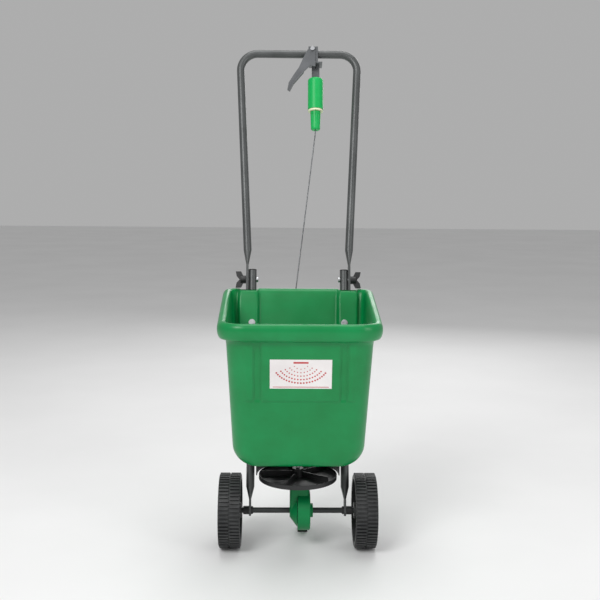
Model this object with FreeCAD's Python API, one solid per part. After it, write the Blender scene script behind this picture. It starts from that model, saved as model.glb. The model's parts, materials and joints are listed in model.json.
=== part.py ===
import FreeCAD, Part
import math
import os

# Rotary spreader. Working axes: +X right, -Y front, +Z up, ground at Z 0,
# wheel axle along X through Y 0. Every shape is moved by ORIGIN_Y when it is
# written, so that the row's origin is the middle of the overall footprint.
V = FreeCAD.Vector
ORIGIN_Y = -81.0

# Driving dimensions, millimetres and degrees
WHEEL_R = 80.0
WHEEL_IN = 122.0
WHEEL_OUT = 168.4
RIB_COUNT = 60
RIB_H = 3.5
AXLE_R = 6.0
RUNNING_FIT = 0.05
LEAN = 16.7
TUBE_R = 9.0
TUBE_WALL = 1.5
TUBE_X = 102.8
BOLT_S = 507.4
LOWER_TOP_S = 528.0
BAR_S = 1044.0
LEG_X = 114.7
FLARE = 2.8
BEND_R = 40.0
FLAT_HALF = 9.0
KNOB_REACH = 18.0
HOPPER_BOTTOM = 201.0
HOPPER_FRONT_Z = 512.0
HOPPER_REAR_Z = 546.0
WALL = 3.0
REAR_WALL_OFF = 5.0
RIM_H = 34.0
RIM_OUT = 14.0
CHANNEL_X = 111.0
HOPPER_BOLT_Z = 471.0
LOW_BOLT_Z = 262.0
SPINNER_R = 84.0
SPINNER_Z = 153.0
SHAFT_R = 4.0
RING_TEETH = 36
PINION_TEETH = 12
DIAL_X = 38.8
DIAL_OFF = 5.0
CABLE_R = 1.25
GATE_X = (-54.0, -11.0)
GATE_Z = 196.5
GATE_TRAVEL = 30.0

SIN_L = math.sin(math.radians(LEAN))
COS_L = math.cos(math.radians(LEAN))
ALONG = V(0, SIN_L, COS_L)
BACK = V(0, COS_L, -SIN_L)
RIGHT = V(1, 0, 0)
UP = V(0, 0, 1)


def frame_point(x, s, off=0.0):
    """Point at distance s from the axle along the leaning frame line."""
    return V(x, 0, WHEEL_R) + ALONG * s + BACK * off


def s_at(z):
    return (z - WHEEL_R) / COS_L


def cyl(r, start, direction, length):
    return Part.makeCylinder(r, length, start, direction)


def ring(r_out, r_in, start, direction, length):
    return cyl(r_out, start, direction, length).cut(cyl(r_in, start, direction, length))


def box(x0, x1, y0, y1, z0, z1):
    return Part.makeBox(x1 - x0, y1 - y0, z1 - z0, V(x0, y0, z0))


def plate(points, direction):
    """Flat polygon, given as 3-D points, made solid along a vector."""
    return Part.Face(Part.makePolygon(points + [points[0]])).extrude(direction)


def frame_block(x0, x1, s0, s1, off0, off1):
    """Box whose sides run along X, the frame line and its rear normal."""
    corners = [(x0, off0), (x1, off0), (x1, off1), (x0, off1)]
    return plate([frame_point(x, s0, o) for x, o in corners], ALONG * (s1 - s0))


def fuse(first, *others):
    return first.fuse(list(others)).removeSplitter()


def mirror(shape):
    return shape.mirror(V(0, 0, 0), RIGHT)


def rounded_path(points, radius):
    """Straight runs through the points, joined by tangent arcs."""
    edges = []
    start = points[0]
    for before, corner, after in zip(points, points[1:], points[2:]):
        d_in = (corner - before).normalize()
        d_out = (after - corner).normalize()
        turn = d_in.getAngle(d_out)
        cut = radius * math.tan(turn / 2)
        a = corner - d_in * cut
        b = corner + d_out * cut
        to_centre = (d_out - d_in).normalize()
        middle = corner + to_centre * (radius / math.cos(turn / 2) - radius)
        edges.append(Part.LineSegment(start, a).toShape())
        edges.append(Part.Arc(a, middle, b).toShape())
        start = b
    edges.append(Part.LineSegment(start, points[-1]).toShape())
    return Part.Wire(edges)


def pipe(points, bend, r):
    path = rounded_path(points, bend)
    direction = (points[1] - points[0]).normalize()
    section = Part.Wire(Part.makeCircle(r, points[0], direction))
    return path.makePipeShell([section], True, True)


def gear_outline(count, r_root, r_tip, tooth, phase):
    """Corners of a wheel with straight teeth, in the XY plane."""
    corners = []
    for i in range(count):
        middle = phase + 2 * math.pi * i / count
        for r, side in ((r_root, -1), (r_tip, -1), (r_tip, 1), (r_root, 1)):
            a = middle + side * math.asin(tooth / 2 / r)
            corners.append(V(r * math.cos(a), r * math.sin(a), 0))
    return corners


# Frame tubes

def lower_tube():
    body = cyl(TUBE_R, frame_point(TUBE_X, 50), ALONG, LOWER_TOP_S - 50)
    body = body.cut(cyl(TUBE_R - TUBE_WALL, frame_point(TUBE_X, 50), ALONG, LOWER_TOP_S - 50))
    round_end = Part.Wire(Part.makeCircle(TUBE_R, frame_point(TUBE_X, 50), ALONG))
    flat_ellipse = Part.Ellipse(frame_point(TUBE_X, 22, 12.5), frame_point(TUBE_X + 2.2, 22), frame_point(TUBE_X, 22))
    flat_end = Part.Wire(flat_ellipse.toShape())
    neck = Part.makeLoft([flat_end, round_end], True)
    tab = frame_block(TUBE_X - 2.2, TUBE_X + 2.2, 0, 23, -12.5, 12.5)
    foot = cyl(12.5, V(TUBE_X - 2.2, 0, WHEEL_R), RIGHT, 4.4)
    tube = fuse(body, neck, tab, foot)
    tube = tube.cut(cyl(7.0, V(TUBE_X - 5, 0, WHEEL_R), RIGHT, 10))
    tube = tube.cut(cyl(3.0, frame_point(80, BOLT_S), RIGHT, 50))
    for z in (HOPPER_BOLT_Z, LOW_BOLT_Z):
        tube = tube.cut(cyl(3.0, frame_point(TUBE_X, s_at(z), -20), BACK, 40))
    return tube


def tube_cap():
    top = frame_point(TUBE_X, LOWER_TOP_S)
    return fuse(cyl(TUBE_R, top, ALONG, 2.5), cyl(TUBE_R - TUBE_WALL, top - ALONG * 8, ALONG, 9))


def upper_handle():
    flat_top = 540.0
    round_from = 575.0
    slope = math.tan(math.radians(FLARE))
    corner_x = LEG_X + (BAR_S - round_from) * slope
    path = [frame_point(-LEG_X, round_from), frame_point(-corner_x, BAR_S)]
    path += [frame_point(corner_x, BAR_S), frame_point(LEG_X, round_from)]
    handle = pipe(path, BEND_R, TUBE_R)
    for side, above, below in ((-1, path[1], path[0]), (1, path[2], path[3])):
        leg_end = Part.Wire(Part.makeCircle(TUBE_R, below, (above - below).normalize()))
        middle = frame_point(side * LEG_X, flat_top)
        flat_ellipse = Part.Ellipse(middle + BACK * FLAT_HALF, middle + RIGHT * 2.5, middle)
        neck = Part.makeLoft([Part.Wire(flat_ellipse.toShape()), leg_end], True)
        x = side * LEG_X - 2.5
        flat = frame_block(x, x + 5, 482, flat_top + 1, -FLAT_HALF, FLAT_HALF)
        tip = cyl(FLAT_HALF, frame_point(x, 482), RIGHT, 5)
        hole = cyl(3.0 + RUNNING_FIT, frame_point(x - 1, BOLT_S), RIGHT, 7)
        handle = handle.fuse(flat.fuse([tip, neck])).cut(hole)
    return handle.cut(pipe(path, BEND_R, TUBE_R - TUBE_WALL))


def clamp_bolt():
    head = cyl(6.5, frame_point(TUBE_X - TUBE_R - 4, BOLT_S), RIGHT, 4)
    return fuse(head, cyl(3.0, frame_point(TUBE_X - TUBE_R - 1, BOLT_S), RIGHT, 34.5))


def wing_knob():
    start = LEG_X + 2.9
    boss = cyl(9.0, frame_point(start, BOLT_S), RIGHT, 12)
    lobes = []
    for side in (-1, 1):
        inner = [(start + 6, 0), (start + 6, 8 * side), (start + 11, KNOB_REACH * side)]
        inner += [(start + 23, KNOB_REACH * side), (start + 21, 8 * side), (start + 14, 0)]
        points = [frame_point(x, BOLT_S + s, -4) for x, s in inner]
        lobes.append(plate(points, BACK * 8))
    knob = fuse(boss, *lobes)
    return knob.cut(cyl(3.05, frame_point(start - 1, BOLT_S), RIGHT, 12))


# Hopper

def side_profile(inset, lift, drop):
    """Hopper's outline in the YZ plane, moved in by inset; top plane lifted."""
    off = REAR_WALL_OFF - inset
    rear_top = frame_point(0, s_at(HOPPER_REAR_Z + off * SIN_L), off)
    rear_low = frame_point(0, s_at(HOPPER_BOTTOM + off * SIN_L), off)
    front_low = V(0, -88 + inset, HOPPER_BOTTOM)
    front_top = V(0, -143 + inset, HOPPER_FRONT_Z)
    points = []
    for low, top in ((front_low, front_top), (rear_low, rear_top)):
        d = (top - low).normalize()
        points.append((low - d * drop, top + d * lift))
    (front_low, front_top), (rear_low, rear_top) = points
    return [front_low, rear_low, rear_top, front_top]


def hopper_block(inset, lift, drop, corner_front, corner_rear, corner_low):
    """Tapered box between four sloping walls, with its corners rounded."""
    side = [p - RIGHT * 250 for p in side_profile(inset, lift, drop)]
    half_low = 135.4 - inset + 0.05 * inset
    half_top = 135.4 - inset + 0.05 * 460
    low = HOPPER_BOTTOM + inset
    high = HOPPER_BOTTOM + 460
    face = [V(-half_low, -300, low), V(half_low, -300, low)]
    face += [V(half_top, -300, high), V(-half_top, -300, high)]
    wedge = plate(face, V(0, 700, 0))
    if corner_low > 0:
        long_edges = [e for e in wedge.Edges if max(v.Z for v in e.Vertexes) < low + 1]
        wedge = wedge.makeFillet(corner_low, [e for e in long_edges if e.BoundBox.YLength > 600])
    block = plate(side, RIGHT * 500).common(wedge)
    for radius, side in ((corner_front, -1), (corner_rear, 1)):
        tall = [e for e in block.Edges if abs(e.Vertexes[0].Z - e.Vertexes[-1].Z) > 50]
        block = block.makeFillet(radius, [e for e in tall if e.CenterOfMass.y * side > 0])
    return block


def channels(grow):
    """Grooves up the rear wall that the frame tubes lie in."""
    cuts = []
    for side in (-1, 1):
        section = [(-19 - grow, -10 - grow), (19 + grow, -10 - grow)]
        section += [(22 + grow, 60), (-22 - grow, 60)]
        points = [frame_point(side * CHANNEL_X + x, 60, off) for x, off in section]
        cuts.append(plate(points, ALONG * 520))
    return cuts


def rim_band():
    """Rolled rim: a flat lip that turns down into a skirt all round."""
    outer = hopper_block(-RIM_OUT, 0, 0, 46, 24, 0)
    under = hopper_block(-RIM_OUT + WALL, -WALL, 0, 43, 21, 0)
    low = [p - ALONG * RIM_H for p in side_profile(-60, 0, 0)[2:]]
    low += [low[1] - UP * 500, low[0] - UP * 500]
    below = plate([p - RIGHT * 250 for p in low], RIGHT * 500)
    top_edges = [e for e in outer.Edges if min(v.Z for v in e.Vertexes) > HOPPER_FRONT_Z - 3]
    outer = outer.makeFillet(6.0, top_edges)
    return outer.cut(below), under


def hopper():
    body = hopper_block(0, 0, 0, 34, 16, 42)
    band, under = rim_band()
    cavity = hopper_block(WALL, 20, -WALL, 31, 13, 39)
    skirt_gap = under.cut(body)
    panels = hopper_block(-2.5, 0, 0, 36, 16, 0)
    keep = [box(-180, -94, -250, -60, 348, 500), box(-76, 80, -250, -60, 348, 500), box(98, 180, -250, -60, 348, 500)]
    raised = panels.common(keep[0].fuse(keep[1:]))
    shell = body.fuse([band.cut(skirt_gap), raised])
    grooves = channels(0)
    shell = shell.cut(grooves[0]).cut(grooves[1])
    walls = channels(WALL)
    shell = shell.cut(cavity.cut(walls[0]).cut(walls[1]))
    for x in (-TUBE_X, TUBE_X):
        for z in (HOPPER_BOLT_Z, LOW_BOLT_Z):
            shell = shell.cut(cyl(3.0, frame_point(x, s_at(z), -20), BACK, 15))
    shell = shell.cut(box(-46, -19, -40, -12, 190, 215))
    shell = shell.cut(cyl(7.0, V(0, 0, 190), UP, 25))
    return max(shell.removeSplitter().Solids, key=lambda s: s.Volume)


def front_label():
    """Blank label on the middle panel of the sloping front wall."""
    low = V(0, -88, HOPPER_BOTTOM)
    up = (V(0, -143, HOPPER_FRONT_Z) - low).normalize()
    out = V(0, -up.z, up.y)
    centre = low + up * ((408 - HOPPER_BOTTOM) / up.z) + out * 2.5 + RIGHT * 2
    corners = [(-62, -31), (62, -31), (62, 31), (-62, 31)]
    return plate([centre + RIGHT * x + up * v for x, v in corners], out * 0.6)


def hopper_bolts(x):
    parts = []
    for z in (HOPPER_BOLT_Z, LOW_BOLT_Z):
        floor = frame_point(x, s_at(z), -10 - WALL)
        head = cyl(5.5, floor - BACK * 5, BACK, 3.5)
        parts.append(fuse(head, cyl(3.0, floor - BACK * 2, BACK, 34)))
    return Part.makeCompound(parts)


def hopper_washers(x):
    discs = []
    for z in (HOPPER_BOLT_Z, LOW_BOLT_Z):
        floor = frame_point(x, s_at(z), -10 - WALL)
        discs.append(ring(7.5, 3.0, floor - BACK * 1.5, BACK, 1.5))
    return Part.makeCompound(discs)


def hopper_nuts(x):
    nuts = []
    for z in (HOPPER_BOLT_Z, LOW_BOLT_Z):
        centre = frame_point(x, s_at(z), TUBE_R)
        corners = []
        for i in range(6):
            a = math.radians(60 * i)
            corners.append(centre + RIGHT * (5.8 * math.cos(a)) + ALONG * (5.8 * math.sin(a)))
        nuts.append(plate(corners, BACK * 5).cut(cyl(3.0, centre, BACK, 6)))
    return Part.makeCompound(nuts)


# Metering gate below the hopper

def gate_plate():
    strip = box(GATE_X[0], GATE_X[1], -43, 62, GATE_Z, GATE_Z + 2.5)
    lug = box(-52, -42, 58, 62, GATE_Z + 2.5, GATE_Z + 10)
    return fuse(strip, lug)


def gate_guide(side):
    wall = (GATE_X[0] - 4, GATE_X[0] - 0.4) if side < 0 else (GATE_X[1] + 0.4, GATE_X[1] + 3.4)
    lip = (GATE_X[0] - 4, GATE_X[0] + 3) if side < 0 else (GATE_X[1] - 3, GATE_X[1] + 3.4)
    upright = box(wall[0], wall[1], -42, 18, GATE_Z - 3, HOPPER_BOTTOM)
    return fuse(upright, box(lip[0], lip[1], -42, 18, GATE_Z - 3, GATE_Z - 0.4))


# Spreading disc and its drive

def deflector():
    half = ring(90, 87.5, V(0, 0, 160), UP, 30).common(box(-100, 100, -6, 100, 150, 210))
    tabs = []
    for side in (-1, 1):
        x0 = min(side * 87.7, side * 90)
        tabs.append(box(x0, x0 + 2.3, -6, 12, 185, HOPPER_BOTTOM))
        f0 = min(side * 74, side * 90)
        tabs.append(box(f0, f0 + 16, -6, 12, HOPPER_BOTTOM - 2.5, HOPPER_BOTTOM))
    wall = fuse(half, *tabs)
    for side in (-1, 1):
        wall = wall.cut(cyl(2.0, V(side * 80, 3, 190), UP, 15))
    return wall


def deflector_screws():
    screws = []
    for side in (-1, 1):
        head = cyl(3.8, V(side * 80, 3, HOPPER_BOTTOM - 5), UP, 2.5)
        screws.append(fuse(head, cyl(2.0, V(side * 80, 3, HOPPER_BOTTOM - 3), UP, 3)))
    return Part.makeCompound(screws)


def spinner():
    disc = cyl(SPINNER_R, V(0, 0, SPINNER_Z + 2), UP, 2.5)
    lip = ring(SPINNER_R, SPINNER_R - 2.5, V(0, 0, SPINNER_Z), UP, 9)
    hub = cyl(12, V(0, 0, SPINNER_Z - 4), UP, 26)
    vanes = []
    for i in range(5):
        vane = box(10, SPINNER_R - 6, -1.1, 1.1, SPINNER_Z + 4, SPINNER_Z + 16)
        vanes.append(vane.rotate(V(0, 0, 0), UP, 36 + 72 * i))
    disc = fuse(disc, lip, hub, *vanes)
    disc = disc.cut(cyl(SHAFT_R, V(0, 0, 140), UP, 60))
    return disc.cut(cyl(1.5, V(-15, 0, SPINNER_Z + 18), RIGHT, 30))


def impeller_shaft():
    shaft = cyl(SHAFT_R, V(0, 0, 94), UP, 138)
    shaft = shaft.cut(cyl(1.5, V(-6, 0, SPINNER_Z + 18), RIGHT, 12))
    return shaft.cut(cyl(1.5, V(-6, 0, 110), RIGHT, 12))


def cross_pin(z, length):
    return cyl(1.5, V(-length / 2, 0, z), RIGHT, length)


def shaft_bush():
    sleeve = ring(7.0, SHAFT_R + RUNNING_FIT, V(0, 0, 190), UP, 14)
    return fuse(sleeve, ring(10, SHAFT_R + RUNNING_FIT, V(0, 0, 204), UP, 3))


def agitator():
    hub = ring(9, SHAFT_R, V(0, 0, 212), UP, 14)
    arms = []
    for side in (-1, 1):
        route = [V(side * 6, 0, 219), V(side * 34, 0, 219), V(side * 42, side * 10, 232)]
        arms.append(pipe(route, 6, 2.5))
    return fuse(hub, *arms)


def pinion_gear():
    outline = [p + V(0, 0, 104) for p in gear_outline(PINION_TEETH, 8.2, 11.2, 1.2, math.radians(15))]
    gear = plate(outline, UP * 11).cut(cyl(SHAFT_R, V(0, 0, 100), UP, 20))
    return gear.cut(cyl(1.5, V(-15, 0, 110), RIGHT, 30))


def ring_gear():
    """Crown gear on the axle; its face teeth point at the pinion."""
    centre = V(0, 0, WHEEL_R)
    disc = fuse(cyl(35, centre + RIGHT * 12.6, RIGHT, 4), cyl(13, centre + RIGHT * 12.6, RIGHT, 11))
    teeth = []
    for i in range(RING_TEETH):
        tooth = box(9.0, 13, -0.6, 0.6, WHEEL_R + 28, WHEEL_R + 33)
        teeth.append(tooth.rotate(centre, RIGHT, 360.0 / RING_TEETH * i))
    gear = fuse(disc, *teeth)
    return gear.cut(cyl(AXLE_R, centre, RIGHT, 40))


def gearbox_outer():
    centre = V(0, 0, WHEEL_R)
    disc = cyl(42, centre, RIGHT, 27)
    disc = disc.makeFillet(3.0, [e for e in disc.Edges if e.CenterOfMass.x > 26])
    boss = cyl(15, centre + RIGHT * 27, RIGHT, 6)
    cone = Part.makeCone(14, 36, 17, centre - RIGHT * 17, RIGHT)
    column = box(-17, 24, -18, 18, WHEEL_R, 143)
    column = column.makeFillet(6, [e for e in column.Edges if abs(e.Vertexes[0].Z - e.Vertexes[-1].Z) > 10])
    return fuse(disc, cone, column, boss)


def stand_leg():
    outline = [(30, 106), (40, 82), (104, 10), (104, 4), (82, 4), (22, 46)]
    leg = plate([V(4, y, z) for y, z in outline], RIGHT * 18)
    pocket = [(38, 78), (92, 14), (86, 12), (34, 54)]
    for x in (3, 17):
        leg = leg.cut(plate([V(x, y, z) for y, z in pocket], RIGHT * 6))
    return leg


def gearbox_cavity():
    centre = V(0, 0, WHEEL_R)
    room = cyl(37.5, centre - RIGHT * 1, RIGHT, 25.5)
    cone = Part.makeCone(11, 31, 14, centre - RIGHT * 14, RIGHT)
    pinion_room = cyl(13.5, V(0, 0, 102.5), UP, 18)
    shelf = box(-14, 7.5, -9, 9, 90, 102.4)
    room = room.fuse([cone]).cut(shelf).fuse(pinion_room)
    shaft_way = cyl(SHAFT_R + RUNNING_FIT, V(0, 0, 93), UP, 70)
    axle_way = cyl(AXLE_R + RUNNING_FIT, centre - RIGHT * 30, RIGHT, 80)
    return room.fuse([shaft_way, axle_way])


SCREW_PLACES = [(-13, 132), (13, 132)]


def gearbox_half(side):
    shell = gearbox_outer()
    if side > 0:
        shell = fuse(shell, stand_leg())
    half = box(0, 80, -120, 200, -10, 200) if side > 0 else box(-80, 0, -120, 200, -10, 200)
    shell = shell.cut(gearbox_cavity()).common(half)
    for y, z in SCREW_PLACES:
        shell = shell.cut(cyl(2.0, V(-12, y, z), RIGHT, 60))
    return max(shell.Solids, key=lambda s: s.Volume)


def gearbox_screws():
    screws = []
    for y, z in SCREW_PLACES:
        screws.append(fuse(cyl(3.8, V(24, y, z), RIGHT, 2.4), cyl(2.0, V(-12, y, z), RIGHT, 37)))
    return Part.makeCompound(screws)


def foot_pad():
    return box(2, 24, 80, 106, 0, 4)


# Axle and wheels

def axle():
    rod = cyl(AXLE_R, V(-167, 0, WHEEL_R), RIGHT, 334)
    for x in (-164.5, 164.5):
        rod = rod.cut(cyl(1.2, V(x, 0, WHEEL_R - 8), UP, 16))
    return rod.cut(cyl(2.0, V(-132, 0, WHEEL_R - 8), UP, 16))


def split_pins():
    return Part.makeCompound([cyl(1.2, V(x, 0, WHEEL_R - 10), UP, 20) for x in (-164.5, 164.5)])


def axle_bush():
    start = V(TUBE_X - 7, 0, WHEEL_R)
    bore = AXLE_R + RUNNING_FIT
    spigot = ring(7.0, bore, start, RIGHT, 10)
    collar = ring(9.0, bore, start + RIGHT * 9.2, RIGHT, 12.5)
    snap = ring(8.5, bore, start + RIGHT * 1, RIGHT, 3.6)
    return fuse(spigot, collar, snap)


def wheel():
    """Right-hand wheel: two staggered rows of tread bars, web and hub."""
    width = WHEEL_OUT - WHEEL_IN
    start = V(WHEEL_IN, 0, WHEEL_R)
    tyre = cyl(WHEEL_R - RIB_H, start, RIGHT, width)
    rows = []
    turn = FreeCAD.Placement(V(0, 0, 0), FreeCAD.Rotation(V(0, 1, 0), 90))
    for row in range(2):
        phase = math.pi / RIB_COUNT * row
        outline = gear_outline(RIB_COUNT, WHEEL_R - RIB_H, WHEEL_R, 4.2, phase)
        band = plate(outline, UP * (width / 2 - 3))
        band.Placement = turn
        band.translate(start + RIGHT * (1.5 + row * (width / 2)))
        rows.append(band)
    tyre = fuse(tyre, *rows)
    for x in (WHEEL_IN - 1, WHEEL_IN + width / 2 + 3):
        tyre = tyre.cut(cyl(67, V(x, 0, WHEEL_R), RIGHT, width / 2 - 2))
    hub = cyl(17, start, RIGHT, width - 8)
    spokes = []
    for i in range(6):
        spoke = box(WHEEL_IN + 8, WHEEL_OUT - 8, -2.5, 2.5, WHEEL_R + 14, WHEEL_R + 69)
        spokes.append(spoke.rotate(V(0, 0, WHEEL_R), RIGHT, 60 * i))
    tyre = fuse(tyre, hub, *spokes)
    return tyre.cut(cyl(AXLE_R + RUNNING_FIT, start - RIGHT * 2, RIGHT, width + 4))


def driven_wheel():
    """Left-hand wheel, held to the axle by a cross pin in its hub."""
    body = mirror(wheel())
    return body.cut(cyl(2.0, V(-132, 0, WHEEL_R - 17), UP, 34))


def drive_pin():
    return cyl(2.0, V(-132, 0, WHEEL_R - 16.8), UP, 33.6)


def wheel_washer(side):
    x = WHEEL_OUT - 7.7
    return ring(11, AXLE_R + RUNNING_FIT, V(side * x, 0, WHEEL_R), RIGHT * side, 1.8)


# Hand controls on the bar

def control_bracket():
    """Strap over the bar with a front cheek and a tongue for the dial."""
    front = frame_block(22, 44, 1020, 1058, -14, -11.5)
    top = frame_block(22, 44, 1055.5, 1058, -14, 14)
    rear = frame_block(22, 44, 1020, 1058, 11.5, 14)
    shelf = frame_block(24, 54, 1018, 1021, -14, 18)
    tongue = frame_block(30, 48, 975, 1020, 3, 6)
    strap = fuse(front, top, rear, shelf, tongue)
    strap = strap.cut(cyl(3.0, frame_point(31, 1051, -16), BACK, 6))
    return strap.cut(cyl(1.8, frame_point(DIAL_X, 1030, 4), ALONG * -1, 20))


def saddle_blocks():
    """Two plastic pads that close the strap's gap round the bar."""
    pads = []
    for side in (-1, 1):
        pad = frame_block(24, 42, 1036, 1052, min(side * 4, side * 11.4), max(side * 4, side * 11.4))
        pads.append(pad.cut(cyl(TUBE_R, frame_point(15, BAR_S), RIGHT, 40)))
    front, rear = pads
    front = front.cut(cyl(6.0, frame_point(31, 1051, -12), BACK, 7))
    solids = [max(p.Solids, key=lambda s: s.Volume) for p in (front, rear)]
    return Part.makeCompound(solids)


def pivot_rivet():
    pin = cyl(3.0, frame_point(31, 1051, -18.6), BACK, 7.1)
    head = cyl(5.0, frame_point(31, 1051, -20.6), BACK, 2.2)
    return fuse(head, pin)


def trigger_lever():
    """Pressed plate: pivot end over the bar, arm sweeping down and left."""
    outline = [(24, 1056), (38, 1056), (38, 1008), (26, 1010), (10, 994), (-4, 978)]
    outline += [(-14, 966), (-23, 948), (-27, 950), (-24, 968), (-12, 988), (0, 1006), (10, 1030)]
    lever = plate([frame_point(x, s, -17) for x, s in outline], BACK * 2.5)
    arm = [(10, 994), (-4, 978), (-14, 966), (-23, 948), (-21, 946), (-12, 964), (-2, 976), (11, 992)]
    lip = plate([frame_point(x, s, -25) for x, s in arm], BACK * 10.5)
    lever = fuse(lever, lip)
    return lever.cut(cyl(3.0 + RUNNING_FIT, frame_point(31, 1051, -30), BACK, 20))


def dial_housing():
    body = cyl(17.8, frame_point(DIAL_X, 910, DIAL_OFF), ALONG, 76)
    tops = [e for e in body.Edges if (e.CenterOfMass - frame_point(DIAL_X, 986, DIAL_OFF)).Length < 1]
    body = body.makeFillet(6.0, tops)
    body = body.cut(cyl(14.5, frame_point(DIAL_X, 910, DIAL_OFF), ALONG, 52))
    body = body.cut(frame_block(30, 48, 970, 990, 3, 6))
    return body.cut(cyl(2.0, frame_point(DIAL_X, 905, DIAL_OFF), ALONG, 66))


def dial_ring():
    return ring(17.0, 11.2, frame_point(DIAL_X, 905.5, DIAL_OFF), ALONG, 4.2)


def dial_knob():
    low = frame_point(DIAL_X, 861, DIAL_OFF)
    body = Part.makeCone(10.6, 12, 43, low, ALONG)
    low_rim = [e for e in body.Edges if (e.CenterOfMass - low).Length < 1]
    body = body.makeFillet(4.0, low_rim)
    spigot = cyl(10.9, low + ALONG * 43, ALONG, 12)
    snap = cyl(13.5, low + ALONG * 49.6, ALONG, 4)
    flutes = []
    for i in range(12):
        a = math.radians(30 * i)
        side = RIGHT * math.cos(a) + BACK * math.sin(a)
        flutes.append(cyl(1.4, low + side * 12.0 + ALONG * 8, ALONG, 30))
    body = fuse(body, spigot, snap).cut(flutes[0].fuse(flutes[1:]))
    return body.cut(cyl(2.0, low - ALONG, ALONG, 70))


def return_spring():
    """Coil spring inside the dial, round the cable; a sleeve stands for it."""
    return ring(9.0, 6.5, frame_point(DIAL_X, 918, DIAL_OFF), ALONG, 38)


def control_cable():
    route = [frame_point(DIAL_X, 968, DIAL_OFF), frame_point(DIAL_X, 856, DIAL_OFF)]
    route += [frame_point(-3, 505, 26), V(-46, 126, 240), V(-47, 112, GATE_Z + 7), V(-47, 62.5, GATE_Z + 7)]
    path = Part.makePolygon(route)
    print("cable length", round(path.Length))
    return pipe(route, 22, CABLE_R)


def cable_guide():
    arm = box(-52, -42, 46.5, 104, 212, 215)
    rear = frame_block(-52, -42, s_at(212), s_at(250), 5, 8)
    post = box(-52, -42, 98, 101, GATE_Z, 215)
    guide = fuse(arm, rear, post)
    return guide.cut(cyl(1.6, V(-47, 90, GATE_Z + 7), V(0, 1, 0), 20))


NODES = {
    "lower_tube_right": lower_tube(),
    "lower_tube_left": mirror(lower_tube()),
    "tube_cap_right": tube_cap(),
    "tube_cap_left": mirror(tube_cap()),
    "clamp_bolt_right": clamp_bolt(),
    "clamp_bolt_left": mirror(clamp_bolt()),
    "wing_knob_right": wing_knob(),
    "wing_knob_left": mirror(wing_knob()),
    "upper_handle": upper_handle(),
    "hopper": hopper(),
    "front_label": front_label(),
    "hopper_bolts_right": hopper_bolts(TUBE_X),
    "hopper_bolts_left": hopper_bolts(-TUBE_X),
    "hopper_washers_right": hopper_washers(TUBE_X),
    "hopper_washers_left": hopper_washers(-TUBE_X),
    "hopper_nuts_right": hopper_nuts(TUBE_X),
    "hopper_nuts_left": hopper_nuts(-TUBE_X),
    "gate_plate": gate_plate(),
    "gate_guide_left": gate_guide(-1),
    "gate_guide_right": gate_guide(1),
    "deflector": deflector(),
    "deflector_screws": deflector_screws(),
    "spinner": spinner(),
    "spinner_pin": cross_pin(SPINNER_Z + 18, 23),
    "impeller_shaft": impeller_shaft(),
    "shaft_bush": shaft_bush(),
    "agitator": agitator(),
    "pinion_gear": pinion_gear(),
    "pinion_pin": cross_pin(110, 15),
    "ring_gear": ring_gear(),
    "gearbox_right": gearbox_half(1),
    "gearbox_left": gearbox_half(-1),
    "gearbox_screws": gearbox_screws(),
    "foot_pad": foot_pad(),
    "axle": axle(),
    "split_pins": split_pins(),
    "axle_bush_right": axle_bush(),
    "axle_bush_left": mirror(axle_bush()),
    "wheel_right": wheel(),
    "wheel_left": driven_wheel(),
    "drive_pin": drive_pin(),
    "wheel_washer_right": wheel_washer(1),
    "wheel_washer_left": wheel_washer(-1),
    "control_bracket": control_bracket(),
    "saddle_blocks": saddle_blocks(),
    "pivot_rivet": pivot_rivet(),
    "trigger_lever": trigger_lever(),
    "dial_housing": dial_housing(),
    "dial_ring": dial_ring(),
    "dial_knob": dial_knob(),
    "return_spring": return_spring(),
    "control_cable": control_cable(),
    "cable_guide": cable_guide(),
}

os.makedirs("parts", exist_ok=True)
for name, shape in NODES.items():
    shape.translate(V(0, ORIGIN_Y, 0))
    if not shape.isValid():
        print("not valid:", name)
    print(name, len(shape.Solids), round(shape.Volume))
    shape.exportStep("parts/" + name + ".step")
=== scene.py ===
import json
import math

import bmesh
import bpy
from mathutils import Matrix, Vector


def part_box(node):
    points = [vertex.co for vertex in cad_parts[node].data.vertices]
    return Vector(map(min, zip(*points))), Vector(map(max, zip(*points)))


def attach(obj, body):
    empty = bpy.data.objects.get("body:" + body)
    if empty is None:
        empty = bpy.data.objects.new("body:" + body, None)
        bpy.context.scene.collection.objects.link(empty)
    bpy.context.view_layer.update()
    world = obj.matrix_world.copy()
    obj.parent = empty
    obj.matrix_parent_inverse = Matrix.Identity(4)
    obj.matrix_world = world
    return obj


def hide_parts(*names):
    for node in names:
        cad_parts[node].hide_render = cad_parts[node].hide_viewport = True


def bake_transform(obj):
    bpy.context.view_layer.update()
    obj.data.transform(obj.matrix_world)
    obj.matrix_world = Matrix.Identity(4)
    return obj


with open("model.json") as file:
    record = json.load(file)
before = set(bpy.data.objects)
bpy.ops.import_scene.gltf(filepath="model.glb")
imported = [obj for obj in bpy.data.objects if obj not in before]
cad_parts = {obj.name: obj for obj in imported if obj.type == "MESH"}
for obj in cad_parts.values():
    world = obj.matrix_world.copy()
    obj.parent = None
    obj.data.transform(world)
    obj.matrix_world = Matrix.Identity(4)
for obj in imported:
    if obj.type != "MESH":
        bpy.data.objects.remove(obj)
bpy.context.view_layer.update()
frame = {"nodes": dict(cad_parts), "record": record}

NODES = frame["nodes"]
MM = 0.001

# The leaning line of the frame, from the axle up, in metres
LEAN = math.radians(16.7)
AXLE = Vector((0.0, -0.081, 0.080))
RIGHT = Vector((1.0, 0.0, 0.0))
ALONG = Vector((0.0, math.sin(LEAN), math.cos(LEAN)))
BACK = Vector((0.0, math.cos(LEAN), -math.sin(LEAN)))

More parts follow.
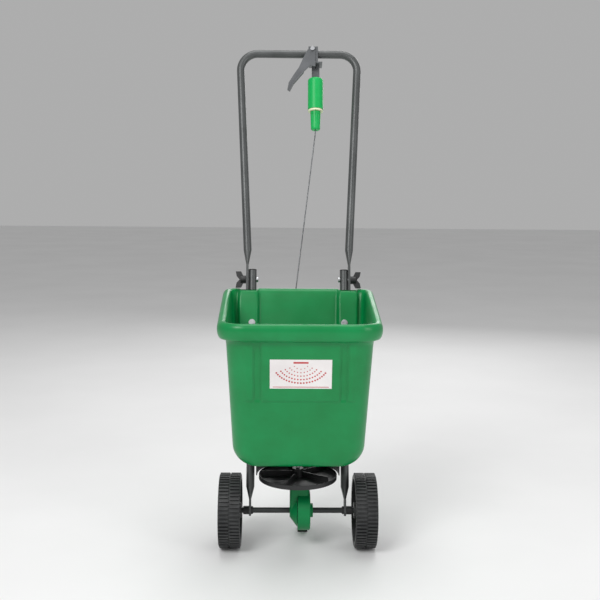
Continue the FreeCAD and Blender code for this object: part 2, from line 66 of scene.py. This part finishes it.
# The dial's line, beside the middle of the frame, with its cable and spring
DIAL_X = 0.0388
DIAL_OFF = 0.005
CABLE_RADIUS = 1.25 * MM
SPRING_TURNS = 9
SPRING_START_S = 0.9192
SPRING_LENGTH = 0.0355
SPRING_COIL_RADIUS = 0.0077
SPRING_WIRE_RADIUS = 0.9 * MM
POINTS_PER_TURN = 12

# The hopper's walls, in the CAD's millimetres
ORIGIN_Y = -81.0
BASE_Z = 201.0
TOP_FRONT_Z = 512.0
TOP_RISE = 34.0
WALL = 3.0
BASE_HALF_WIDTH = 135.4
SIDE_SLOPE = 0.05
FRONT_BASE_Y = -88.0
FRONT_SLOPE = 0.1769
REAR_SLOPE = 0.3
REAR_START_Y = 5.22
AXLE_Z = 80.0
FRONT_CORNER_R = 38.0
LEAST_FRONT_CORNER_R = 6.0
REAR_CORNER_R = 17.0
LEAST_REAR_CORNER_R = 4.0
CORNER_SHRINK = 0.6
FOOT_R = 42.0
FOOT_PINCH_Y = 15.0

# Its raised front panels, the two grooves between them, and the tube channels
PANEL_FOOT_Z = 348.0
PANEL_END = (PANEL_FOOT_Z - BASE_Z) / (TOP_FRONT_Z - BASE_Z)
PANEL_RAISE = 2.6
PANEL_MIDDLE_X = 2.0
GROOVE_X = 87.0
GROOVE_SINK = 1.9
GROOVE_FLAT_HALF = 6.5
GROOVE_HALF = 9.0
CHANNEL_X = 111.0
CHANNEL_DEPTH = 15.6
CHANNEL_FLAT_HALF = 17.5
CHANNEL_HALF = 21.5

# The rolled rim as (mm out from the wall, mm above its top), outside to inside
RIM_PROFILE = [
    (0.5, -39), (3, -37.5), (10, -36), (13, -35), (15.2, -31), (16.6, -25),
    (16.8, -18), (16.0, -11.5), (13.6, -5.5), (10.0, -1.8), (6.0, -0.2),
    (2.5, -0.6), (-0.4, -3.2), (-1.9, -8), (-2.7, -15), (-3, -24),
]

# How finely the hopper is drawn
SIDE_STEPS = 28
FRONT_STEPS = 84
REAR_STEPS = 112
CORNER_STEPS = 9
FOOT_STEPS = 8

# The print on the label, in metres
PRINT_LIFT = 0.00035
PRINT_THICK = 0.0002
DOT_SIDES = 14
FAN_ROWS = 5
FAN_HALF_ANGLE = 62
FAN_WIDEN = 1.35
FAN_TOP = 0.022

# The floor, and where the camera stands and how it is turned
FLOOR_REACH = 12.0
WORLD_STRENGTH = 0.42
CAMERA_PLACE = (-0.038, -2.081, 0.806)
CAMERA_LENS = 57.5
PITCH = math.radians(82.42)
YAW = math.radians(-1.13)
ROLL = math.radians(0.5)


def frame_point(x, s, off):
    """Point s metres along the leaning line, x to its right, off behind it."""
    return AXLE + Vector((x, 0, 0)) + ALONG * s + BACK * off


# ---------------------------------------------------------------- materials

class Nodes:
    """Short way to wire one procedural material."""

    def __init__(self, name):
        self.material = bpy.data.materials.new(name)
        self.material.use_nodes = True
        self.tree = self.material.node_tree
        self.shader = self.tree.nodes["Principled BSDF"]
        coords = self.add("ShaderNodeTexCoord")
        self.place = coords.outputs["Object"]

    def add(self, kind, **settings):
        node = self.tree.nodes.new(kind)
        for key, value in settings.items():
            setattr(node, key, value)
        return node

    def link(self, out, into):
        self.tree.links.new(out, into)

    def feed(self, out, socket):
        """Drives one input of the shader."""
        self.link(out, self.shader.inputs[socket])

    def fix(self, socket, value):
        """Sets one input of the shader."""
        self.shader.inputs[socket].default_value = value

    def noise(self, scale, detail=4.0, rough=0.5, stretch=None):
        node = self.add("ShaderNodeTexNoise")
        node.inputs["Scale"].default_value = scale
        node.inputs["Detail"].default_value = detail
        node.inputs["Roughness"].default_value = rough
        source = self.place
        if stretch:
            mapping = self.add("ShaderNodeMapping")
            mapping.inputs["Scale"].default_value = stretch
            self.link(self.place, mapping.inputs["Vector"])
            source = mapping.outputs["Vector"]
        self.link(source, node.inputs["Vector"])
        return node.outputs["Fac"]

    def ramp(self, value, low, high, colour_a, colour_b):
        node = self.add("ShaderNodeValToRGB")
        node.color_ramp.elements[0].position = low
        node.color_ramp.elements[1].position = high
        node.color_ramp.elements[0].color = (*colour_a, 1)
        node.color_ramp.elements[1].color = (*colour_b, 1)
        self.link(value, node.inputs["Fac"])
        return node.outputs["Color"]

    def spread(self, value, low, high):
        node = self.add("ShaderNodeMapRange")
        node.inputs["To Min"].default_value = low
        node.inputs["To Max"].default_value = high
        self.link(value, node.inputs["Value"])
        return node.outputs["Result"]

    def surface(self, height, strength, distance, edge):
        """Bump over softly rounded edges."""
        bevel = self.add("ShaderNodeBevel", samples=4)
        bevel.inputs["Radius"].default_value = edge
        bump = self.add("ShaderNodeBump")
        bump.inputs["Strength"].default_value = strength
        bump.inputs["Distance"].default_value = distance
        self.link(height, bump.inputs["Height"])
        self.link(bevel.outputs["Normal"], bump.inputs["Normal"])
        self.feed(bump.outputs["Normal"], "Normal")


def moulded_plastic(name, colour, light, rough, edge, gloss=0.5):
    """Injection-moulded plastic: cloudy pigment, fine grain, paler scuffs."""
    m = Nodes(name)
    cloud = m.noise(9.0, detail=5.0, rough=0.6)
    tone = m.ramp(cloud, 0.35, 0.7, colour, light)
    scuffs = m.noise(60.0, detail=8.0, rough=0.7, stretch=(1.0, 1.0, 4.0))
    scuff_mask = m.ramp(scuffs, 0.60, 0.74, (0, 0, 0), (1, 1, 1))
    scuffed = [min(1.0, channel * 1.25 + 0.02) for channel in light]
    mix = m.add("ShaderNodeMixRGB", blend_type="MIX")
    mix.inputs["Color2"].default_value = (*scuffed, 1)
    m.link(m.spread(scuff_mask, 0.0, 0.22), mix.inputs["Fac"])
    m.link(tone, mix.inputs["Color1"])
    m.feed(mix.outputs["Color"], "Base Color")
    m.feed(m.spread(m.noise(35.0, detail=6.0), rough - 0.07, rough + 0.12), "Roughness")
    m.fix("Specular IOR Level", gloss)
    m.surface(m.noise(900.0, detail=3.0), strength=0.10, distance=0.0004, edge=edge)
    return m.material


def powder_coat(name, colour, light):
    """Baked paint on steel, a little metallic under a thin clear layer."""
    m = Nodes(name)
    m.feed(m.ramp(m.noise(14.0), 0.35, 0.7, colour, light), "Base Color")
    m.feed(m.spread(m.noise(60.0, detail=6.0), 0.34, 0.52), "Roughness")
    m.fix("Metallic", 0.35)
    m.fix("Coat Weight", 0.25)
    m.fix("Coat Roughness", 0.3)
    m.surface(m.noise(1400.0, detail=2.0), strength=0.18, distance=0.0003, edge=0.0004)
    return m.material


def zinc_steel(name, colour, light):
    """Zinc-plated steel: small spangles and fine crosswise scratches."""
    m = Nodes(name)
    spangle = m.add("ShaderNodeTexVoronoi")
    spangle.inputs["Scale"].default_value = 260.0
    m.link(m.place, spangle.inputs["Vector"])
    brushed = m.noise(180.0, detail=5.0, rough=0.6, stretch=(1.0, 1.0, 6.0))
    scratches = m.noise(700.0, detail=4.0, rough=0.6, stretch=(1.0, 1.0, 8.0))
    m.feed(m.ramp(spangle.outputs["Color"], 0.1, 0.9, colour, light), "Base Color")
    m.fix("Metallic", 1.0)
    m.feed(m.spread(brushed, 0.25, 0.45), "Roughness")
    m.surface(scratches, strength=0.08, distance=0.0002, edge=0.0004)
    return m.material


def tread_plastic(name, colour, dusty):
    """Matt black wheel plastic with patches of pale dust."""
    m = Nodes(name)
    dust = m.noise(24.0, detail=8.0, rough=0.65)
    m.feed(m.ramp(dust, 0.42, 0.75, colour, dusty), "Base Color")
    m.feed(m.spread(m.noise(90.0, detail=5.0), 0.36, 0.56), "Roughness")
    m.surface(m.noise(800.0, detail=3.0), strength=0.22, distance=0.0004, edge=0.0008)
    return m.material


def sticker_white(name, colour, light):
    """Vinyl sticker with faint waves."""
    m = Nodes(name)
    m.feed(m.ramp(m.noise(18.0), 0.3, 0.8, colour, light), "Base Color")
    m.feed(m.spread(m.noise(40.0), 0.28, 0.42), "Roughness")
    m.surface(m.noise(70.0, detail=3.0), strength=0.15, distance=0.0005, edge=0.0003)
    return m.material


HOPPER_GREEN = moulded_plastic(
    "hopper_green", (0.0, 0.205, 0.048), (0.0, 0.265, 0.070), rough=0.30, edge=0.0025, gloss=0.42)
# The hopper's green made darker: painted shade for the shadow under the spinner, on both gearbox
# halves
SHADED_GEARBOX_GREEN = moulded_plastic(
    "gearbox_green_painted_shade", (0.0, 0.170, 0.046), (0.0, 0.215, 0.060), rough=0.42, edge=0.0012, gloss=0.3)
DIAL_GREEN = moulded_plastic(
    "dial_green", (0.001, 0.370, 0.075), (0.003, 0.440, 0.098), rough=0.36, edge=0.001, gloss=0.4)
CREAM = moulded_plastic(
    "cream", (0.72, 0.74, 0.48), (0.82, 0.84, 0.60), rough=0.45, edge=0.0005)
ACETAL = moulded_plastic(
    "acetal", (0.62, 0.61, 0.56), (0.74, 0.73, 0.68), rough=0.35, edge=0.0003)
BLACK = moulded_plastic(
    "black_plastic", (0.010, 0.010, 0.011), (0.022, 0.022, 0.023), rough=0.42, edge=0.001)
RUBBER = moulded_plastic(
    "rubber", (0.012, 0.012, 0.012), (0.028, 0.028, 0.027), rough=0.75, edge=0.001)
PRINT_RED = moulded_plastic(
    "print_red", (0.50, 0.045, 0.05), (0.62, 0.07, 0.07), rough=0.35, edge=0.0002)
TREAD = tread_plastic("wheel_tread", (0.016, 0.017, 0.018), (0.050, 0.052, 0.052))
TUBE_GREY = powder_coat("tube_grey", (0.062, 0.066, 0.066), (0.088, 0.093, 0.093))
AXLE_BLACK = powder_coat("axle_black", (0.016, 0.019, 0.019), (0.030, 0.034, 0.033))
LEVER_GREY = powder_coat("lever_grey", (0.085, 0.090, 0.094), (0.125, 0.130, 0.138))
STEEL = zinc_steel("zinc_steel", (0.42, 0.43, 0.44), (0.62, 0.63, 0.65))
CABLE_GREY = zinc_steel("cable_steel", (0.10, 0.105, 0.11), (0.19, 0.195, 0.20))
STICKER = sticker_white("sticker", (0.78, 0.74, 0.74), (0.90, 0.87, 0.86))

SLOT_MATERIAL = {
    "hopper_green": HOPPER_GREEN,
    "dial_green": DIAL_GREEN,
    "tube_grey": TUBE_GREY,
    "steel": STEEL,
    "black_plastic": BLACK,
    "wheel_black": TREAD,
    "cream_plastic": CREAM,
    "label_white": STICKER,
    "foot_rubber": RUBBER,
    "gear_white": ACETAL,
}
OWN_MATERIAL = {
    "gearbox_left": SHADED_GEARBOX_GREEN,
    "gearbox_right": SHADED_GEARBOX_GREEN,
    "trigger_lever": LEVER_GREY,
    "control_bracket": LEVER_GREY,
    "axle": AXLE_BLACK,
}


def dress_nodes():
    """Every CAD node gets its procedural material."""
    slots = {part["node"]: part["material_slot"] for part in frame["record"]["subparts"]}
    for name, node in NODES.items():
        material = OWN_MATERIAL.get(name, SLOT_MATERIAL[slots[name]])
        node.data.materials.clear()
        node.data.materials.append(material)


# ------------------------------------------------------------------- pieces

def piece(name, data, material, body):
    """New visible piece; body is None for one that is left unattached."""
    obj = bpy.data.objects.new(name, data)
    bpy.context.scene.collection.objects.link(obj)
    data.materials.clear()
    data.materials.append(material)
    if body:
        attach(obj, body)
    return obj


def smooth(data):
    for polygon in data.polygons:
        polygon.use_smooth = True


def finished(name, mesh):
    """Mesh data from a bmesh, with its faces turned outwards."""
    bmesh.ops.recalc_face_normals(mesh, faces=mesh.faces)
    data = bpy.data.meshes.new(name)
    mesh.to_mesh(data)
    mesh.free()
    return data


def tube_mesh(name, points, radius, sides, resolution):
    """Mesh of a round tube along a NURBS line through control points."""
    curve = bpy.data.curves.new(name + "_line", "CURVE")
    curve.dimensions = "3D"
    curve.resolution_u = resolution
    curve.bevel_depth = radius
    curve.bevel_resolution = sides
    curve.use_fill_caps = True
    spline = curve.splines.new("NURBS")
    spline.points.add(len(points) - 1)
    for target, point in zip(spline.points, points):
        target.co = (*point, 1.0)
    spline.order_u = 3
    spline.use_endpoint_u = True
    holder = bpy.data.objects.new(name + "_line", curve)
    bpy.context.scene.collection.objects.link(holder)
    bpy.context.view_layer.update()
    evaluated = holder.evaluated_get(bpy.context.evaluated_depsgraph_get())
    mesh = bpy.data.meshes.new_from_object(evaluated)
    bpy.data.objects.remove(holder)
    smooth(mesh)
    return mesh


def control_cable():
    """Steel cable from the dial down behind the hopper to the gate."""
    top = frame_point(DIAL_X, 0.975, DIAL_OFF)
    leave = frame_point(DIAL_X, 0.856, DIAL_OFF)
    rim = frame_point(-0.003, 0.505, 0.026)
    bend = Vector((-0.046, 0.045, 0.240))
    turn = Vector((-0.047, 0.031, 0.2035))
    gate = Vector((-0.047, -0.0185, 0.2035))
    route = [top, leave.lerp(top, 0.1), leave]
    route += [leave.lerp(rim, t) for t in (0.1, 0.3, 0.5, 0.7, 0.85, 0.95)]
    route += [rim, rim.lerp(bend, 0.06)]
    route += [rim.lerp(bend, t) for t in (0.25, 0.5, 0.75, 0.92)]
    route += [bend, turn, turn.lerp(gate, 0.4), gate]
    mesh = tube_mesh("control_cable_wire", route, CABLE_RADIUS, sides=4, resolution=16)
    wire = piece("control_cable_wire", mesh, CABLE_GREY, None)
    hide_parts("control_cable")
    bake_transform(wire)


def return_spring():
    """Coil of round wire inside the dial housing."""
    low = frame_point(DIAL_X, SPRING_START_S, DIAL_OFF)
    steps = SPRING_TURNS * POINTS_PER_TURN
    points = []
    for i in range(steps + 1):
        a = 2 * math.pi * i / POINTS_PER_TURN
        around = (RIGHT * math.cos(a) + BACK * math.sin(a)) * SPRING_COIL_RADIUS
        points.append(low + around + ALONG * (SPRING_LENGTH * i / steps))
    mesh = tube_mesh("return_spring_coil", points, SPRING_WIRE_RADIUS, sides=2, resolution=3)
    coil = piece("return_spring_coil", mesh, STEEL, "handle")
    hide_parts("return_spring")


# ------------------------------------------------------------------- hopper

def smooth_step(value, start, end):
    """0 up to start, 1 from end on, and eased between them."""
    t = min(1.0, max(0.0, (value - start) / (end - start)))
    return t * t * (3 - 2 * t)


def hopper_outline():
    """Marks once round the section: (wall, -1..1 along it) and the corners.

    A corner's mark is ("corner", (side, end, turn)), with side and end -1 or
    1 for left or right and front or rear, and turn 0..1 round the corner.
    """
    walls = [
        ("front", -1, FRONT_STEPS, (1, -1)),
        ("right", -1, SIDE_STEPS, (1, 1)),
        ("rear", 1, REAR_STEPS, (-1, 1)),
        ("left", 1, SIDE_STEPS, (-1, -1)),
    ]
    marks = []
    for kind, start, steps, (side, end) in walls:
        for i in range(steps + 1):
            marks.append((kind, start - 2 * start * i / steps))
        for i in range(1, CORNER_STEPS):
            marks.append(("corner", (side, end, i / CORNER_STEPS)))
    return marks


def rearward(kind, at):
    """0 at the front wall, 1 at the rear wall, and between along the sides."""
    if kind in ("right", "left"):
        return (at + 1) / 2
    if kind == "corner":
        return 1.0 if at[1] > 0 else 0.0
    return 1.0 if kind == "rear" else 0.0


def panel_relief(x, level):
    """How far the front stands out at x: raised panels and sunk grooves."""
    from_groove = abs(x - PANEL_MIDDLE_X) - GROOVE_X
    groove = smooth_step(from_groove, -GROOVE_HALF, -GROOVE_FLAT_HALF)
    groove *= 1 - smooth_step(from_groove, GROOVE_FLAT_HALF, GROOVE_HALF)
    panel = smooth_step(level, PANEL_END - 0.006, PANEL_END + 0.010)
    return panel * (PANEL_RAISE * (1 - groove) - GROOVE_SINK * groove)


def hopper_point(mark, level, out, pinch_x, pinch_y, rise):
    """Point on a wall: level 0..1 up it, out mm off it, rise mm above that.

    pinch_x and pinch_y draw the section in at its sides and its ends.
    """
    kind, at = mark
    share = rearward(kind, at)
    z = BASE_Z + level * (TOP_FRONT_Z - BASE_Z) + rise + level * TOP_RISE * share
    half = BASE_HALF_WIDTH + SIDE_SLOPE * (z - BASE_Z) + out - pinch_x
    front = FRONT_BASE_Y - FRONT_SLOPE * (z - BASE_Z) - out + pinch_y
    rear = REAR_SLOPE * (z - AXLE_Z) + REAR_START_Y
    rear_out = rear + out - pinch_y
    r_front = max(LEAST_FRONT_CORNER_R, FRONT_CORNER_R + out - CORNER_SHRINK * pinch_x)
    r_rear = max(LEAST_REAR_CORNER_R, REAR_CORNER_R + out - CORNER_SHRINK * pinch_x)
    if kind == "front":
        x = at * (half - r_front)
        relief = panel_relief(x, level) if out == 0 else 0.0
        return x, front - relief, z
    if kind in ("right", "left"):
        y = front + r_front + share * (rear_out - r_rear - front - r_front)
        return (half if kind == "right" else -half), y, z
    if kind == "corner":
        side, end, turn = at
        r = r_front if end < 0 else r_rear
        turn = turn if side * end < 0 else 1 - turn
        a = turn * math.pi / 2
        x = side * (half - r + r * math.sin(a))
        inset = r - r * math.cos(a)
        return x, (front + inset if end < 0 else rear_out - inset), z
    x = at * (half - r_rear)
    inwards = max(0.0, -out)
    from_channel = abs(abs(x) - CHANNEL_X)
    inside = 1 - smooth_step(from_channel, CHANNEL_FLAT_HALF + inwards, CHANNEL_HALF + inwards)
    y = rear - CHANNEL_DEPTH * inside
    y += (out - pinch_y) if out < 0 else (out - pinch_y) * (1 - inside)
    return x, y, z


def foot_rings(out, radius, pinch_y, lift):
    """The rounded foot, from its flat bottom up to where the walls start."""
    rings = []
    for i in range(FOOT_STEPS + 1):
        a = math.pi / 2 * i / FOOT_STEPS
        drawn_in = 1 - math.sin(a)
        rise = lift + radius * (1 - math.cos(a))
        rings.append((0.0, out, radius * drawn_in, pinch_y * drawn_in, rise))
    return rings


def hopper_rings():
    """Sections up the outside, over the rolled rim and down the inside."""
    outer_levels = [0.16 + 0.3 * i / 8 for i in range(9)]
    outer_levels += [PANEL_END + step for step in (-0.008, 0.0, 0.006, 0.012)]
    outer_levels += [0.52 + 0.36 * i / 10 for i in range(10)]
    inner_levels = (0.85, 0.7, 0.55, 0.4, 0.28, 0.18)
    inner_foot = foot_rings(-WALL, FOOT_R - WALL, FOOT_PINCH_Y - WALL, WALL)
    rings = foot_rings(0.0, FOOT_R, FOOT_PINCH_Y, 0.0)
    rings += [(level, 0.0, 0.0, 0.0, 0.0) for level in outer_levels]
    rings += [(1.0, out, 0.0, 0.0, rise) for out, rise in RIM_PROFILE]
    rings += [(level, -WALL, 0.0, 0.0, 0.0) for level in inner_levels]
    return rings + inner_foot[::-1]


def hopper_shell():
    """Moulded hopper: rounded foot, panelled front, tube grooves, rolled rim."""
    marks = hopper_outline()
    mesh = bmesh.new()
    loops = []
    for ring in hopper_rings():
        loop = []
        for mark in marks:
            x, y, z = hopper_point(mark, *ring)
            loop.append(mesh.verts.new(Vector((x, y + ORIGIN_Y, z)) * MM))
        loops.append(loop)
    for low, high in zip(loops, loops[1:]):
        for i in range(len(marks)):
            j = (i + 1) % len(marks)
            mesh.faces.new((low[i], low[j], high[j], high[i]))
    mesh.faces.new(loops[0][::-1])
    mesh.faces.new(loops[-1])
    bmesh.ops.remove_doubles(mesh, verts=mesh.verts, dist=0.00002)
    data = finished("hopper_shell", mesh)
    smooth(data)
    shell = piece("hopper_shell", data, HOPPER_GREEN, "frame")
    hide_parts("hopper")


# -------------------------------------------------------------------- label

def rectangle(x, v, width, height):
    corners = ((-1, -1), (1, -1), (1, 1), (-1, 1))
    return [(x + i * width / 2, v + j * height / 2) for i, j in corners]


def disc(x, v, radius):
    turns = [2 * math.pi * i / DOT_SIDES for i in range(DOT_SIDES)]
    return [(x + radius * math.cos(a), v + radius * math.sin(a)) for a in turns]


def fan_outlines():
    """Dots in arcs that widen downwards, as granules leave the spinner."""
    outlines = []
    for row in range(FAN_ROWS):
        count = 5 + 4 * row
        reach = 0.011 + 0.0075 * row
        radius = 0.0010 + 0.0002 * row
        for i in range(count):
            a = math.radians(-FAN_HALF_ANGLE + 2 * FAN_HALF_ANGLE * i / (count - 1))
            x = reach * FAN_WIDEN * math.sin(a)
            outlines.append(disc(x, FAN_TOP - reach * math.cos(a), radius))
    return outlines


def label_print():
    """A red fan of dots between two red bars on the blank label."""
    low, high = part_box("front_label")
    up = Vector((0.0, -55.0, 311.0)).normalized()
    out = Vector((0.0, -up.z, up.y))
    middle = Vector([(a + b) / 2 for a, b in zip(low, high)]) + out * PRINT_LIFT
    outlines = fan_outlines()
    outlines.append(rectangle(0.0, 0.0245, 0.030, 0.0035))
    outlines.append(rectangle(0.0, -0.0275, 0.112, 0.0012))
    mesh = bmesh.new()
    for outline in outlines:
        points = [middle + RIGHT * x + up * v for x, v in outline]
        top = [mesh.verts.new(point + out * PRINT_THICK) for point in points]
        base = [mesh.verts.new(point) for point in points]
        mesh.faces.new(top)
        mesh.faces.new(base[::-1])
        for i in range(len(points)):
            j = (i + 1) % len(points)
            mesh.faces.new((top[i], base[i], base[j], top[j]))
    piece("label_print", finished("label_print", mesh), PRINT_RED, "frame")


# ------------------------------------------------------------ stage and view

def studio():
    """Pale plain floor."""
    near, far = -FLOOR_REACH, FLOOR_REACH
    corners = [(near, near, 0), (far, near, 0), (far, far, 0), (near, far, 0)]
    floor_mesh = bpy.data.meshes.new("floor")
    floor_mesh.from_pydata(corners, [], [(0, 1, 2, 3)])
    floor = bpy.data.objects.new("floor", floor_mesh)
    bpy.context.scene.collection.objects.link(floor)
    pale = Nodes("floor_pale")
    tone = pale.ramp(pale.noise(2.0), 0.3, 0.7, (0.80, 0.80, 0.80), (0.84, 0.84, 0.84))
    pale.feed(tone, "Base Color")
    pale.fix("Roughness", 0.85)
    floor_mesh.materials.append(pale.material)


def area_light(name, place, target, size, power):
    data = bpy.data.lights.new(name, "AREA")
    data.shape = "RECTANGLE"
    data.size = size[0]
    data.size_y = size[1]
    data.energy = power
    light = bpy.data.objects.new(name, data)
    light.location = place
    aim = Vector(target) - Vector(place)
    light.rotation_euler = aim.to_track_quat("-Z", "Y").to_euler()
    bpy.context.scene.collection.objects.link(light)


def lights():
    """Even white surroundings and four soft lamps."""
    world = bpy.data.worlds.new("studio")
    world.use_nodes = True
    background = world.node_tree.nodes["Background"]
    background.inputs["Color"].default_value = (1, 1, 1, 1)
    background.inputs["Strength"].default_value = WORLD_STRENGTH
    bpy.context.scene.world = world
    area_light("key", (-1.3, -2.2, 2.3), target=(0, 0, 0.5), size=(1.2, 1.2), power=46)
    area_light("fill", (2.0, -1.8, 1.3), target=(0, 0, 0.5), size=(1.0, 1.6), power=16)
    area_light("top", (0.0, 0.1, 2.8), target=(0, 0, 0.3), size=(1.6, 1.6), power=26)
    area_light("back", (0.6, 2.4, 1.6), target=(0, 0, 0.6), size=(1.6, 1.2), power=16)


def camera():
    """Camera in front of the object, above its middle, looking a little down."""
    data = bpy.data.cameras.new("camera")
    data.sensor_width = 36.0
    data.lens = CAMERA_LENS
    data.clip_end = 50.0
    obj = bpy.data.objects.new("camera", data)
    obj.location = CAMERA_PLACE
    turned = Matrix.Rotation(YAW, 3, "Z") @ Matrix.Rotation(PITCH, 3, "X")
    obj.rotation_euler = (turned @ Matrix.Rotation(ROLL, 3, "Z")).to_euler()
    bpy.context.scene.collection.objects.link(obj)
    bpy.context.scene.camera = obj


dress_nodes()
hopper_shell()
control_cable()
return_spring()
label_print()
studio()
lights()
camera()
bpy.context.scene.view_settings.view_transform = "Standard"
